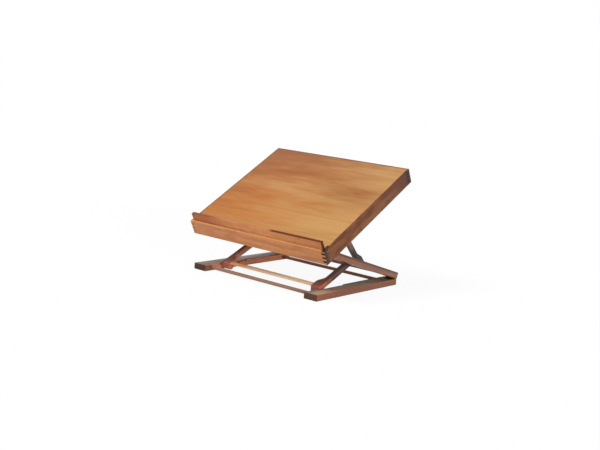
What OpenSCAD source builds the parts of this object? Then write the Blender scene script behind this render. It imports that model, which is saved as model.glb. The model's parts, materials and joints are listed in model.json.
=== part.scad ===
// Folding tabletop lectern in wood.
// A base frame and a middle frame are hinged at the rear and held apart in front by a
// strut whose pegs stand in racks along the base rails. The desk turns near its front
// edge on the middle frame and is held up by a prop that stands in racks on that frame.
// Axes: X across, Y from front to rear, Z up. The origin is under the middle.

/* [Base frame] */

// Length of the base rails, front to rear
base_l = 401; // [398:0.5:404]
// How far the base rails stand in from the outer faces of the middle rails
base_inset = 0.5; // [0:0.5:2]
// Height of the base rails
base_t = 18.2; // [17.6:0.1:19.6]
// Width of the base and middle rails
rail_w = 45.5; // [42:0.5:46]
// Depth of the base cross bars, front to rear
base_bar_w = 12; // [10:0.5:14]
// Height of the base cross bars
base_bar_t = 8; // [7:0.5:9.5]
// Front face of the front cross bar, from the front of the base
front_bar_y = 24; // [18:1:28]
// Front face of the rear cross bar, from the front of the base
rear_bar_y = 362; // [330:1:366]

/* [Middle frame] */

// Space between a middle rail and the side of the desk
desk_gap = 5.5; // [4:0.5:8]
// Thickness of the middle rails
mid_t = 18.7; // [18:0.1:20]
// Distance from the rear hinge to the desk pivot
mid_l = 397; // [392:0.5:402]
// Slope of the middle frame as it stands
mid_slope = 15.75; // [15:0.05:17]
// Depth of the middle cross bars
mid_bar_w = 18; // [14:1:20]
// Thickness of the middle cross bars
mid_bar_t = 14; // [10:1:16]

/* [Front strut] */

// Distance from the rear hinge to the strut pivot
strut_pivot_m = 194.2; // [188:0.2:200]
// Length of the strut from its pivot to the end of its foot
strut_l = 160; // [157:0.5:163]
// Space between a strut arm and the middle rail
strut_gap = 1.2; // [1:0.1:3]
// Thickness of the strut arms
strut_t = 15; // [13:0.5:16]
// Width of an arm above its foot
strut_arm_w = 14.5; // [12:0.5:16]
// Width of a foot
strut_foot_w = 30; // [24:0.5:34]
// Length of a foot below its curved shoulder
strut_foot_l = 23; // [18:1:30]
// Length of the curved shoulder above a foot
strut_shoulder_l = 30; // [20:1:36]
// Radius of the heel round a foot's peg
strut_heel_r = 12.5; // [11:0.1:12.8]
// Slope of the strut as it stands
strut_slope = 24; // [23.4:0.1:24.6]
// Width of the slat between the feet
slat_w = 13; // [10:0.5:15]
// Thickness of the slat
slat_t = 5; // [4:0.5:6]
// Diameter of the pegs in the feet
peg_d = 6; // [5:0.5:6]

/* [Desk] */

// Width of the desk
desk_w = 500; // [440:5:560]
// Depth of the desk
desk_d = 441.4; // [438:0.2:446]
// Height of the desk box
desk_t = 45.2; // [44:0.1:47]
// Slope of the desk as it stands
desk_slope = 29.2; // [28:0.1:31]
// Thickness of the side and rear rails
side_t = 12; // [10:0.5:14]
// Thickness of the front rail
front_t = 18; // [16:0.5:18.5]
// Number of fingers in each corner joint
fingers = 7; // [5:2:9]
// Thickness of the desk panel
panel_t = 6.5; // [5:0.5:8]
// Width of rail that shows around the panel
panel_lip = 4; // [3:0.5:5]
// Distance from the front of the desk to its pivot
pivot_u = 29; // [28.4:0.1:29.6]
// Height of the pivot above the underside of the desk
pivot_v = 19.5; // [19:0.1:20]

/* [Ledge] */

// Height of the ledge above the panel
ledge_h = 24; // [15:1:35]
// Thickness of the ledge
ledge_t = 10.6; // [9:0.2:11]
// Distance of the ledge's front face behind the front of the desk
ledge_back = 5; // [3:0.5:6]
// Distance of the ledge's ends from the sides of the desk
ledge_inset = 9; // [2:1:30]

/* [Rear prop] */

// Distance from the desk pivot to the prop pivot, along the desk
prop_pivot_l = 144; // [142:0.5:146]
// Distance from the prop pivot to the rod in its foot
prop_l = 204.5; // [202.5:0.5:206.5]
// Slope of the prop as it stands
prop_slope = 45.3; // [45:0.1:45.6]
// Depth of a prop arm
prop_arm_d = 17; // [14:0.5:18]
// Thickness of a prop arm
prop_arm_t = 9; // [7:0.5:9]
// Space between a prop arm and the strut arm that it passes
prop_gap = 3.3; // [3.2:0.1:6]
// Height of the rod above the middle line of the prop arms
rod_offset = 8; // [6:0.5:9]
// Diameter of the rod
rod_d = 8; // [7:0.5:8]

/* [Racks] */

// Distance between the notches for the strut
notch_pitch = 33.5; // [28:0.5:36]
// Number of notches for the strut
notch_count = 4; // [2:1:4]
// Width of the notches
notch_w = 7; // [5:0.5:9]
// Depth of the notches
notch_depth = 3.5; // [2:0.5:4]
// Distance between the notches for the prop
prop_notch_pitch = 18; // [14:1:20]

/* [Hardware] */

// Diameter of the pivot bolts and pins
bolt_d = 6; // [5:0.5:6]
// Diameter of the washers on the pivots
washer_d = 16; // [13:0.5:18]
// Length of a hinge along its pin
hinge_w = 36; // [30:1:36]
// Length of a hinge leaf on the rail
hinge_leaf = 30; // [24:1:34]
// Thickness of a hinge leaf
leaf_t = 1.6; // [1.2:0.1:2]
// Diameter of the hinge knuckles
knuckle_d = 5; // [4.4:0.1:5.4]

/* [Fits] */

// Radial clearance of a shaft in its hole
shaft_gap = 0.05; // [0.02:0.01:0.1]
// Clearance around fixed tenons, leaves and screws
fit_gap = 0.05; // [0.02:0.01:0.1]
// Clearance between turning pieces that face each other
turn_gap = 0.3; // [0.2:0.05:0.5]

/* [Hidden] */

$fn = 48;

// Motion in degrees: how far each folding joint goes and how the struts follow it
lift_min = -12;
lift_max = 23.4;
strut_ratio = 2.4;
tilt_min = -(mid_slope + desk_slope);
tilt_max = 5;
prop_ratio = 1.66;

wood_light = [0.74, 0.51, 0.34];
wood_red = [0.66, 0.42, 0.28];
wood_dark = [0.42, 0.26, 0.20];
wood_pale = [0.80, 0.68, 0.56];
brass = [0.78, 0.62, 0.36];
steel = [0.62, 0.62, 0.62];

soft = 1;
tenon_l = 8;
tenon_step = 2;

// Base cross bars, above the table
front_bar_z = 5.5;
rear_bar_z = 6.2;

// Rear hinge
knuckle_r = knuckle_d / 2;
end_gap = knuckle_r + turn_gap;
hinge_y = base_l + end_gap;
hinge_z = base_t + turn_gap;
pin_r = 1;
screw_r = 1.2;
screw_head_r = 2.3;
screw_l = 10;

// Half widths, from the sides of the desk inwards
side_in = desk_w / 2 - side_t;
mid_out = side_in - desk_gap;
mid_in = mid_out - rail_w;
base_out = mid_out - base_inset;
base_in = base_out - rail_w;
arm_out = mid_in - strut_gap;
arm_in = arm_out - strut_arm_w;
foot_in = arm_out - strut_foot_w;
prop_out = arm_in - prop_gap;
prop_in = prop_out - prop_arm_t;

// Middle frame, in its own frame: m runs forward from the hinge, n up
mid_n = turn_gap + mid_t / 2;
desk_y = hinge_y - mid_l * cos(mid_slope) + mid_n * sin(mid_slope);
desk_z = hinge_z + mid_l * sin(mid_slope) + mid_n * cos(mid_slope);
mid_front_bar_m = mid_l - 34;
mid_rear_bar_m = 5;
mid_bar_n0 = mid_n - mid_bar_t / 2;
mid_bar_n1 = mid_n + mid_bar_t / 2;

// Front strut: s runs down from its pivot, n up and forward
strut_y = hinge_y - strut_pivot_m * cos(mid_slope) + mid_n * sin(mid_slope);
strut_z = hinge_z + strut_pivot_m * sin(mid_slope) + mid_n * cos(mid_slope);
peg_s = strut_l - 6;
peg_n = -2.5;
peg_r = peg_d / 2;
peg_reach = 5.5;
lane_w = peg_reach + 1;
slat_s = strut_l - 3 - slat_w;
bolt_in_rail = 25;

// Desk, in its own frame: u runs back from its front edge, v up from its underside
finger = desk_t / fingers;
ledge_rear = ledge_back + ledge_t;
panel_front = ledge_rear + 0.2;
pin_in_side = side_t - 4;
rear_ease = 2;
pin_in_rail = 16.5;
blind_end = 0.5;

// Rear prop: s runs down from its pivot, n up and back
prop_u = pivot_u + prop_pivot_l;
prop_y = desk_y + prop_pivot_l * cos(desk_slope);
prop_z = desk_z + prop_pivot_l * sin(desk_slope);
prop_washer_t = 2;
prop_foot_end = 9;
prop_foot_l = 28;
prop_foot_rise = 24;
prop_foot_h = 9.5;
cleat_t = 18;
cleat_out = prop_in - prop_washer_t;
cleat_l = 50;
cleat_v = pivot_v - 9;
rod_r = rod_d / 2;
rod_reach = 6.5;
rod_lane_w = rod_reach + 1.5;
rod_lane_top = mid_n + 4;
prop_notch_r = 2.6;
prop_notch_depth = 2.5;
prop_bar_s = 62;
prop_bar_w = 18;
prop_bar_t = 8;

// Height and place of a peg over the base for a lift of t degrees
function slope_at(t) = mid_slope + t;
function strut_at(t) = strut_slope + strut_ratio * t - t;
function peg_y(t) = hinge_y - strut_pivot_m * cos(slope_at(t)) + mid_n * sin(slope_at(t))
  - peg_s * cos(strut_at(t)) - peg_n * sin(strut_at(t));
function peg_z(t) = hinge_z + strut_pivot_m * sin(slope_at(t)) + mid_n * cos(slope_at(t))
  - peg_s * sin(strut_at(t)) + peg_n * cos(strut_at(t));

// Place of the rod on the middle frame for a desk tilt of t degrees
function open_at(t) = mid_slope + desk_slope + t;
function prop_at(t) = prop_slope - mid_slope + (prop_ratio - 1) * t;
function rod_m(t) = mid_l - prop_pivot_l * cos(open_at(t)) - prop_l * cos(prop_at(t))
  - rod_offset * sin(prop_at(t));
function rod_n(t) = mid_n + prop_pivot_l * sin(open_at(t)) - prop_l * sin(prop_at(t))
  + rod_offset * cos(prop_at(t));

// Lowest point that a round of radius r reaches over a, as its centre runs along pts.
// Past the ends of the run it stays as low as there.
function under(a, pts, r, top) =
  let (
    firsts = [for (p = pts) p[0]],
    b = max(min(firsts), min(max(firsts), a))
  )
  min([for (p = pts) abs(b - p[0]) < r ? p[1] - sqrt(r * r - (b - p[0]) * (b - p[0])) : top]);

peg_path = [for (t = [lift_min : (lift_max - lift_min) / 90 : lift_max + 0.01]) [peg_y(t), peg_z(t)]];
rod_path = [for (t = [tilt_min : (tilt_max - tilt_min) / 110 : tilt_max + 0.01]) [rod_m(t), rod_n(t)]];
peg_swing_r = peg_r + turn_gap;
rod_swing_r = rod_r + turn_gap;
lane_y0 = peg_y(lift_min) - peg_swing_r;
lane_y1 = peg_y(lift_max) + peg_swing_r;
rod_ms = [for (p = rod_path) p[0]];
rod_lane_m0 = min(rod_ms) - rod_swing_r;
rod_lane_m1 = max(rod_ms) + rod_swing_r;

// Overall length, from the ledge's top front edge to the hinge, sets the origin
front_y = desk_y + (ledge_back - pivot_u) * cos(desk_slope)
  - (desk_t + ledge_h - pivot_v) * sin(desk_slope);
rear_y = hinge_y + knuckle_r;
origin_y = (front_y + rear_y) / 2;

// Where each body stands

module on_base() {
  translate([0, -origin_y, 0])
    children();
}

module on_middle() {
  translate([0, hinge_y - origin_y, hinge_z])
    rotate([-mid_slope, 0, 0])
      children();
}

module on_strut() {
  translate([0, strut_y - origin_y, strut_z])
    rotate([strut_slope, 0, 0])
      children();
}

module on_desk() {
  translate([0, desk_y - origin_y, desk_z])
    rotate([desk_slope, 0, 0])
      translate([0, -pivot_u, -pivot_v])
        children();
}

module on_prop() {
  translate([0, prop_y - origin_y, prop_z])
    rotate([-prop_slope, 0, 0])
      children();
}

// Shared shapes

module both_sides() {
  children();
  mirror([1, 0, 0])
    children();
}

module left_side() {
  mirror([1, 0, 0])
    children();
}

// A board from corner a to corner b with its long edges along Y eased
module board_y(a, b, e = soft) {
  translate([a[0], b[1], a[2]])
    rotate([90, 0, 0])
      linear_extrude(b[1] - a[1])
        offset(r = e, $fn = 16)
          offset(delta = -e)
            square([b[0] - a[0], b[2] - a[2]]);
}

// The same with its long edges along X eased
module board_x(a, b, e = soft) {
  translate([a[0], a[1], a[2]])
    rotate([90, 0, 90])
      linear_extrude(b[0] - a[0])
        offset(r = e, $fn = 16)
          offset(delta = -e)
            square([b[1] - a[1], b[2] - a[2]]);
}

// A plain block from corner a to corner b
module block(a, b) {
  translate(a)
    cube(b - a);
}

// A round bar along X
module rod_x(x0, x1, r) {
  translate([x0, 0, 0])
    rotate([0, 90, 0])
      cylinder(r = r, h = x1 - x0);
}

// A profile drawn in the YZ plane, made x0 to x1 wide
module slab_x(x0, x1) {
  translate([x0, 0, 0])
    rotate([90, 0, 90])
      linear_extrude(x1 - x0)
        children();
}

// A washer on an X axis
module washer(x0, x1, d) {
  difference() {
    rod_x(x0, x1, d / 2);
    rod_x(x0 - 1, x1 + 1, bolt_d / 2 + shaft_gap);
  }
}

// A cross bar between two rails, with a tenon at each end
module cross_bar(half, y0, y1, z0, z1) {
  board_x([-half, y0, z0], [half, y1, z1]);
  block(
    [-half - tenon_l, y0 + tenon_step, z0 + tenon_step],
    [half + tenon_l, y1 - tenon_step, z1 - tenon_step]
  );
}

// The mortise for that tenon in the rail on the right
module mortise(half, y0, y1, z0, z1) {
  block(
    [half - 1, y0 + tenon_step - fit_gap, z0 + tenon_step - fit_gap],
    [half + tenon_l + fit_gap, y1 - tenon_step + fit_gap, z1 - tenon_step + fit_gap]
  );
}

// Rear hinges, on the right, with the pin at the origin

hinge_x = (base_in + mid_out) / 2 - 0.5;
hinge_seg = (hinge_w - 2 * turn_gap) / 3;

module hinge_leaf_plate(low) {
  z0 = low ? -turn_gap - leaf_t : turn_gap;
  block([hinge_x - hinge_w / 2, -hinge_leaf, z0], [hinge_x + hinge_w / 2, 0, z0 + leaf_t]);
}

// Screws stand in a row, heads flush with the leaf, up from its face or down
module hinge_screw_row(low, grow = 0) {
  for (k = [-1, 1]) {
    translate([hinge_x + k * hinge_w / 3.2, -hinge_leaf * 0.62, low ? -turn_gap : turn_gap])
      rotate([low ? 180 : 0, 0, 0]) {
        cylinder(r1 = screw_head_r + grow, r2 = screw_r + grow, h = leaf_t);
        cylinder(r = screw_r + grow, h = screw_l + grow, $fn = 24);
      }
  }
}

module hinge_half(low) {
  difference() {
    union() {
      difference() {
        hinge_leaf_plate(low);
        // Room for the other half's knuckles
        for (k = low ? [0] : [-1, 1]) {
          translate([hinge_x + k * (hinge_seg + turn_gap), 0, 0])
            rod_x(-hinge_seg / 2 - turn_gap, hinge_seg / 2 + turn_gap, knuckle_r + turn_gap);
        }
      }
      for (k = low ? [-1, 1] : [0]) {
        translate([hinge_x + k * (hinge_seg + turn_gap), 0, 0])
          rod_x(-hinge_seg / 2, hinge_seg / 2, knuckle_r);
      }
    }
    rod_x(hinge_x - hinge_w, hinge_x + hinge_w, pin_r + shaft_gap);
    hinge_screw_row(low, fit_gap);
  }
}

// Recess in a rail for a leaf
module leaf_recess(low) {
  z0 = low ? -turn_gap - leaf_t - fit_gap : turn_gap - 1;
  z1 = low ? -turn_gap + 1 : turn_gap + leaf_t + fit_gap;
  block(
    [hinge_x - hinge_w / 2 - fit_gap, -hinge_leaf - fit_gap, z0],
    [hinge_x + hinge_w / 2 + fit_gap, 1, z1]
  );
}

// Racks

// Lane for the pegs in the base rail, cut to the path that they take
module peg_lane() {
  steps = 60;
  ys = [for (i = [0 : steps]) lane_y0 + (lane_y1 - lane_y0) * i / steps];
  top = base_t + 1;
  slab_x(base_in - 1, base_in + lane_w)
    polygon(concat(
      [for (y = ys) [y, under(y, peg_path, peg_swing_r, top)]],
      [[lane_y1, top + 1], [lane_y0, top + 1]]
    ));
  for (k = [0 : notch_count - 1]) {
    y = peg_y(0) + k * notch_pitch;
    low = under(y, peg_path, peg_swing_r, top) - notch_depth + notch_w / 2;
    slab_x(base_in - 1, base_in + lane_w) {
      translate([y, low])
        circle(d = notch_w, $fn = 24);
      translate([y - notch_w / 2, low])
        square([notch_w, top - low]);
    }
  }
}

// Lane for the rod in the middle rail
module rod_lane() {
  steps = 60;
  ms = [for (i = [0 : steps]) rod_lane_m0 + (rod_lane_m1 - rod_lane_m0) * i / steps];
  top = turn_gap + mid_t + 1;
  slab_x(mid_in - 1, mid_in + rod_lane_w)
    polygon(concat(
      [for (m = ms) [-m, min(under(m, rod_path, rod_swing_r, top), rod_lane_top)]],
      [[-rod_lane_m1, top + 1], [-rod_lane_m0, top + 1]]
    ));
  for (k = [-1 : 1]) {
    m = rod_m(0) - k * prop_notch_pitch;
    low = min(under(m, rod_path, rod_swing_r, top), rod_lane_top) - prop_notch_depth;
    slab_x(mid_in - 1, mid_in + rod_lane_w) {
      translate([-m, low + prop_notch_r])
        circle(r = prop_notch_r, $fn = 24);
      translate([-m - prop_notch_r, low + prop_notch_r])
        square([2 * prop_notch_r, top - low]);
    }
  }
}

// Base frame

module base_rail_right() {
  color(wood_dark)
    on_base()
      difference() {
        board_y([base_in, 0, 0], [base_out, base_l, base_t]);
        peg_lane();
        mortise(base_in, front_bar_y, front_bar_y + base_bar_w, front_bar_z, front_bar_z + base_bar_t);
        mortise(base_in, rear_bar_y, rear_bar_y + base_bar_w, rear_bar_z, rear_bar_z + base_bar_t);
        translate([0, hinge_y, hinge_z]) {
          leaf_recess(true);
          hinge_screw_row(true, fit_gap);
        }
      }
}

module base_rail_left() {
  left_side()
    base_rail_right();
}

module base_front_bar() {
  color(wood_pale)
    on_base()
      cross_bar(base_in, front_bar_y, front_bar_y + base_bar_w, front_bar_z, front_bar_z + base_bar_t);
}

module base_rear_bar() {
  color(wood_dark)
    on_base()
      cross_bar(base_in, rear_bar_y, rear_bar_y + base_bar_w, rear_bar_z, rear_bar_z + base_bar_t);
}

module hinge_base_leaves() {
  color(brass)
    on_base()
      translate([0, hinge_y, hinge_z])
        both_sides()
          hinge_half(true);
}

module hinge_base_screws() {
  color(brass)
    on_base()
      translate([0, hinge_y, hinge_z])
        both_sides()
          hinge_screw_row(true);
}

module hinge_pins() {
  color(steel)
    on_base()
      translate([0, hinge_y, hinge_z])
        both_sides()
          rod_x(hinge_x - hinge_w / 2, hinge_x + hinge_w / 2, pin_r);
}

// Middle frame

module middle_rail_right() {
  color(wood_dark)
    on_middle()
      difference() {
        union() {
          board_y([mid_in, -mid_l, turn_gap], [mid_out, -end_gap, turn_gap + mid_t]);
          translate([0, -mid_l, mid_n])
            rod_x(mid_in + soft, mid_out - soft, mid_t / 2);
        }
        rod_lane();
        mortise(mid_in, -mid_rear_bar_m - mid_bar_w, -mid_rear_bar_m, mid_bar_n0, mid_bar_n1);
        mortise(mid_in, -mid_front_bar_m, -mid_front_bar_m + mid_bar_w, mid_bar_n0, mid_bar_n1);
        leaf_recess(false);
        hinge_screw_row(false, fit_gap);
        translate([0, -strut_pivot_m, mid_n])
          rod_x(mid_in - 1, mid_in + bolt_in_rail + blind_end, bolt_d / 2 + shaft_gap);
        translate([0, -mid_l, mid_n])
          rod_x(mid_out - pin_in_rail - blind_end, mid_out + 1, bolt_d / 2 + shaft_gap);
      }
}

module middle_rail_left() {
  left_side()
    middle_rail_right();
}

module middle_front_bar() {
  color(wood_dark)
    on_middle()
      cross_bar(mid_in, -mid_front_bar_m, -mid_front_bar_m + mid_bar_w, mid_bar_n0, mid_bar_n1);
}

module middle_rear_bar() {
  color(wood_dark)
    on_middle()
      cross_bar(mid_in, -mid_rear_bar_m - mid_bar_w, -mid_rear_bar_m, mid_bar_n0, mid_bar_n1);
}

module hinge_middle_leaves() {
  color(brass)
    on_middle()
      both_sides()
        hinge_half(false);
}

module hinge_middle_screws() {
  color(brass)
    on_middle()
      both_sides()
        hinge_screw_row(false);
}

bolt_head_t = 3;
bolt_head_r = bolt_d / 2 + 2.5;

module strut_pivot_bolts() {
  color(steel)
    on_middle()
      translate([0, -strut_pivot_m, mid_n])
        both_sides() {
          rod_x(arm_in + 0.5, mid_in + bolt_in_rail, bolt_d / 2);
          rod_x(arm_in + 0.5, arm_in + 0.5 + bolt_head_t, bolt_head_r);
        }
}

module strut_spacers() {
  color(steel)
    on_middle()
      translate([0, -strut_pivot_m, mid_n])
        both_sides()
          washer(arm_out + turn_gap, mid_in, washer_d);
}

module desk_pivot_pins() {
  color(steel)
    on_middle()
      translate([0, -mid_l, mid_n])
        both_sides()
          rod_x(mid_out - pin_in_rail, side_in + pin_in_side - blind_end, bolt_d / 2);
}

module desk_spacers() {
  color(steel)
    on_middle()
      translate([0, -mid_l, mid_n])
        both_sides()
          washer(mid_out, side_in - turn_gap, washer_d);
}

// Front strut

// Outline of an arm seen from the front, inner edge with its curved shoulder
module arm_front_profile() {
  s0 = strut_l - strut_foot_l - strut_shoulder_l;
  curve = [
    for (i = [0 : 12])
      [arm_in + (foot_in - arm_in) * (1 - cos(180 * i / 12)) / 2, -s0 - strut_shoulder_l * i / 12]
  ];
  polygon(concat(
    [[arm_out, 10], [arm_in, 10]],
    curve,
    [[foot_in, -strut_l - strut_heel_r], [arm_out, -strut_l - strut_heel_r]]
  ));
}

// Heel round the peg, seen from the side, with its toe cut plumb as the strut stands
module heel_profile() {
  toe = strut_l * cos(strut_slope) + strut_t / 2 * sin(strut_slope);
  intersection() {
    translate([-peg_s, peg_n])
      circle(r = strut_heel_r);
    translate([-peg_s - strut_heel_r, strut_t / 2 - 2 * strut_l])
      square([2 * strut_heel_r, 2 * strut_l]);
    rotate(-strut_slope)
      translate([-toe, -strut_l])
        square([strut_l, strut_l]);
  }
}

// Outline of an arm seen from the side, round at the pivot and eased at the foot
module arm_side_profile() {
  circle(d = strut_t);
  translate([-strut_l / 2, -strut_t / 2])
    square([strut_l / 2, strut_t]);
  offset(r = 2, $fn = 16)
    offset(delta = -2) {
      translate([-strut_l, -strut_t / 2])
        square([strut_l - 20, strut_t]);
      heel_profile();
    }
}

module strut_arm_right() {
  color(wood_red)
    on_strut()
      difference() {
        intersection() {
          translate([0, 0, -2 * strut_t])
            linear_extrude(3 * strut_t)
              arm_front_profile();
          slab_x(foot_in - 1, arm_out + 1)
            arm_side_profile();
        }
        rod_x(arm_in - 1, arm_out + 1, bolt_d / 2 + shaft_gap);
        rod_x(arm_in - 1, arm_in + 0.5 + bolt_head_t + turn_gap, bolt_head_r + turn_gap);
        translate([0, -peg_s, peg_n])
          rod_x(arm_out - 12, arm_out + 1, peg_r + fit_gap);
        slat_tenon(fit_gap);
      }
}

module strut_arm_left() {
  left_side()
    strut_arm_right();
}

// Tenon of the slat, and with grow its mortise
module slat_tenon(grow = 0) {
  reach = foot_in + 7 + grow;
  block(
    [-reach, -slat_s - slat_w + 3 - grow, strut_t / 2 - slat_t + 1.5 - grow],
    [reach, -slat_s - 3 + grow, strut_t / 2 - 1.5 + grow]
  );
}

module strut_slat() {
  color(wood_pale)
    on_strut() {
      board_x(
        [-foot_in, -slat_s - slat_w, strut_t / 2 - slat_t],
        [foot_in, -slat_s, strut_t / 2]
      );
      slat_tenon();
    }
}

module strut_pegs() {
  color(wood_pale)
    on_strut()
      translate([0, -peg_s, peg_n])
        both_sides()
          rod_x(arm_out - 12 + fit_gap, base_in + peg_reach, peg_r);
}

// Desk

// Fingers of the front and rear rails in the corners, counted from below
module corner_fingers(u0, u1, first) {
  for (k = [first : 2 : fingers - 1]) {
    block([side_in, u0, k * finger], [desk_w / 2, u1, (k + 1) * finger]);
  }
}

// Space of the panel
module panel_space(grow = 0, up = 0) {
  side = desk_w / 2 - panel_lip + grow;
  block(
    [-side, panel_front - grow, desk_t - panel_t - grow],
    [side, desk_d - panel_lip + grow, desk_t + up]
  );
}

module desk_front_rail() {
  color(wood_light)
    on_desk()
      difference() {
        union() {
          block([-side_in, 0, 0], [side_in, front_t, desk_t]);
          both_sides()
            corner_fingers(0, front_t, 0);
        }
        panel_space(0, 1);
      }
}

module desk_rear_rail() {
  color(wood_light)
    on_desk()
      difference() {
        union() {
          slab_x(-side_in, side_in)
            polygon([
              [desk_d - side_t, rear_ease],
              [desk_d - side_t + rear_ease, 0],
              [desk_d, 0],
              [desk_d, desk_t],
              [desk_d - side_t, desk_t]
            ]);
          both_sides()
            corner_fingers(desk_d - side_t, desk_d, 0);
        }
        panel_space(0, 1);
      }
}

module desk_side_right() {
  color(wood_dark)
    on_desk()
      difference() {
        union() {
          block([side_in, front_t, 0], [desk_w / 2, desk_d - side_t, desk_t]);
          corner_fingers(0, front_t, 1);
          corner_fingers(desk_d - side_t, desk_d, 1);
        }
        panel_space(0, 1);
        translate([0, pivot_u, pivot_v])
          rod_x(side_in - 1, side_in + pin_in_side, bolt_d / 2 + shaft_gap);
      }
}

module desk_side_left() {
  left_side()
    desk_side_right();
}

module desk_panel() {
  color(wood_light)
    on_desk()
      panel_space();
}

module ledge() {
  color(wood_red)
    on_desk()
      board_x(
        [ledge_inset - desk_w / 2, ledge_back, desk_t],
        [desk_w / 2 - ledge_inset, ledge_rear, desk_t + ledge_h],
        1.5
      );
}

module prop_cleat_right() {
  color(wood_dark)
    on_desk()
      difference() {
        block(
          [cleat_out - cleat_t, prop_u - cleat_l / 2, cleat_v],
          [cleat_out, prop_u + cleat_l / 2, desk_t - panel_t]
        );
        translate([0, prop_u, pivot_v])
          rod_x(cleat_out - cleat_t + 2, cleat_out + 1, bolt_d / 2 + shaft_gap);
      }
}

module prop_cleat_left() {
  left_side()
    prop_cleat_right();
}

module prop_pivot_bolts() {
  color(steel)
    on_desk()
      translate([0, prop_u, pivot_v])
        both_sides() {
          rod_x(cleat_out - cleat_t + 2.5, prop_out + 1, bolt_d / 2);
          rod_x(prop_out + turn_gap, prop_out + turn_gap + 1.8, bolt_head_r);
        }
}

module prop_spacers() {
  color(steel)
    on_desk()
      translate([0, prop_u, pivot_v])
        both_sides()
          washer(cleat_out, prop_in - turn_gap, washer_d - 2);
}

// Rear prop

// Side view of an arm: round at the pivot, wider on its upper side at the foot
module prop_profile() {
  half = prop_arm_d / 2;
  end = prop_l + prop_foot_end;
  round_r = 4;
  circle(d = prop_arm_d);
  polygon(concat(
    [[0, -half], [end - round_r, -half]],
    [for (a = [-75 : 15 : 0]) [end - round_r + round_r * cos(a), -half + round_r + round_r * sin(a)]],
    [
      for (a = [0 : 15 : 90])
        [end - round_r + round_r * cos(a), half + prop_foot_h - round_r + round_r * sin(a)]
    ],
    [
      [end - prop_foot_l, half + prop_foot_h],
      [end - prop_foot_l - prop_foot_rise, half],
      [0, half],
    ]
  ));
}

module prop_arm_right() {
  color(wood_dark)
    on_prop()
      difference() {
        slab_x(prop_in, prop_out)
          prop_profile();
        rod_x(prop_in - 1, prop_out + 1, bolt_d / 2 + shaft_gap);
        translate([0, prop_l, rod_offset])
          rod_x(prop_in - 1, prop_out + 1, rod_r + fit_gap);
        prop_bar_tenon(fit_gap);
      }
}

module prop_arm_left() {
  left_side()
    prop_arm_right();
}

module prop_bar_tenon(grow = 0) {
  reach = prop_in + 5 + grow;
  block(
    [-reach, prop_bar_s + 3 - grow, -prop_bar_t / 2 + 1.5 - grow],
    [reach, prop_bar_s + prop_bar_w - 3 + grow, prop_bar_t / 2 - 1.5 + grow]
  );
}

module prop_cross_bar() {
  color(wood_dark)
    on_prop() {
      board_x(
        [-prop_in, prop_bar_s, -prop_bar_t / 2],
        [prop_in, prop_bar_s + prop_bar_w, prop_bar_t / 2]
      );
      prop_bar_tenon();
    }
}

module prop_rod() {
  color(wood_pale)
    on_prop()
      translate([0, prop_l, rod_offset])
        rod_x(-mid_in - rod_reach, mid_in + rod_reach, rod_r);
}

// What is drawn

base_rail_left();
base_rail_right();
base_front_bar();
base_rear_bar();
hinge_base_leaves();
hinge_base_screws();
hinge_pins();
middle_rail_left();
middle_rail_right();
middle_front_bar();
middle_rear_bar();
hinge_middle_leaves();
hinge_middle_screws();
strut_pivot_bolts();
strut_spacers();
desk_pivot_pins();
desk_spacers();
strut_arm_left();
strut_arm_right();
strut_slat();
strut_pegs();
desk_front_rail();
desk_rear_rail();
desk_side_left();
desk_side_right();
desk_panel();
ledge();
prop_cleat_left();
prop_cleat_right();
prop_pivot_bolts();
prop_spacers();
prop_arm_left();
prop_arm_right();
prop_cross_bar();
prop_rod();
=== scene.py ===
import json
import math

import bmesh
import bpy
from mathutils import Matrix, Vector


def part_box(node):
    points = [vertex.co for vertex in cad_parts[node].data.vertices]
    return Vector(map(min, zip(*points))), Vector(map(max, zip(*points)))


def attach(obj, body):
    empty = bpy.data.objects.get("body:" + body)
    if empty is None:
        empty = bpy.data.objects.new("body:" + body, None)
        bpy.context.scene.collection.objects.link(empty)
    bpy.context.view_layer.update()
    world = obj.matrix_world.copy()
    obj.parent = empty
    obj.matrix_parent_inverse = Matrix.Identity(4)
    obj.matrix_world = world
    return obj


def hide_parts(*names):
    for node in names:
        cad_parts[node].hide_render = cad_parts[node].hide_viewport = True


bl_info = {
    "name": "Tabletop Lectern",
    "version": (1, 0, 0),
    "blender": (4, 5, 0),
    "location": "3D View > Sidebar > Lectern",
    "description": "Wood finishes, eased joinery, light and camera for a folding tabletop lectern",
    "category": "Object",
}

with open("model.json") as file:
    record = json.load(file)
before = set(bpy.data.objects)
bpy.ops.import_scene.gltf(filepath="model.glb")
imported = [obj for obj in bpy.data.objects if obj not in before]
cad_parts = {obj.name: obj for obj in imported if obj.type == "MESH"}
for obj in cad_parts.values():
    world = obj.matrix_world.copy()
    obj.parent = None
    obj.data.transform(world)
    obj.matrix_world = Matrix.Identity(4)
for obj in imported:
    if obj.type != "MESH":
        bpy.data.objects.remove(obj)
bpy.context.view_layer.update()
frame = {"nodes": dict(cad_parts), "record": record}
MM = 0.001

# How far the edges of the pieces are rounded over
PANEL_EDGE = 0.3 * MM
STAND_EDGE = 0.5 * MM
BOX_EDGE = 0.6 * MM
ROD_EDGE = 0.6 * MM
BOLT_EDGE = 0.7 * MM
LEDGE_EDGE = 0.8 * MM
EDGE_SEGMENTS = 3
OUTER_EDGE_ANGLE = math.radians(40)
SMOOTH_ANGLE = math.radians(32)
MERGE_DISTANCE = 0.01 * MM
FLAT_ANGLE = math.radians(0.5)

# Box that cuts the screwdriver slot across a bolt's head
BOLT_SLOT = (1.6 * MM, 14 * MM, 1.4 * MM)

# Length and width of a pore in the wood, and the distance between two growth rings
PORE = (12 * MM, 0.42 * MM)
RING_SPACING = 3.5 * MM
VENEER_RING_SPACING = 7.5 * MM

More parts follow.
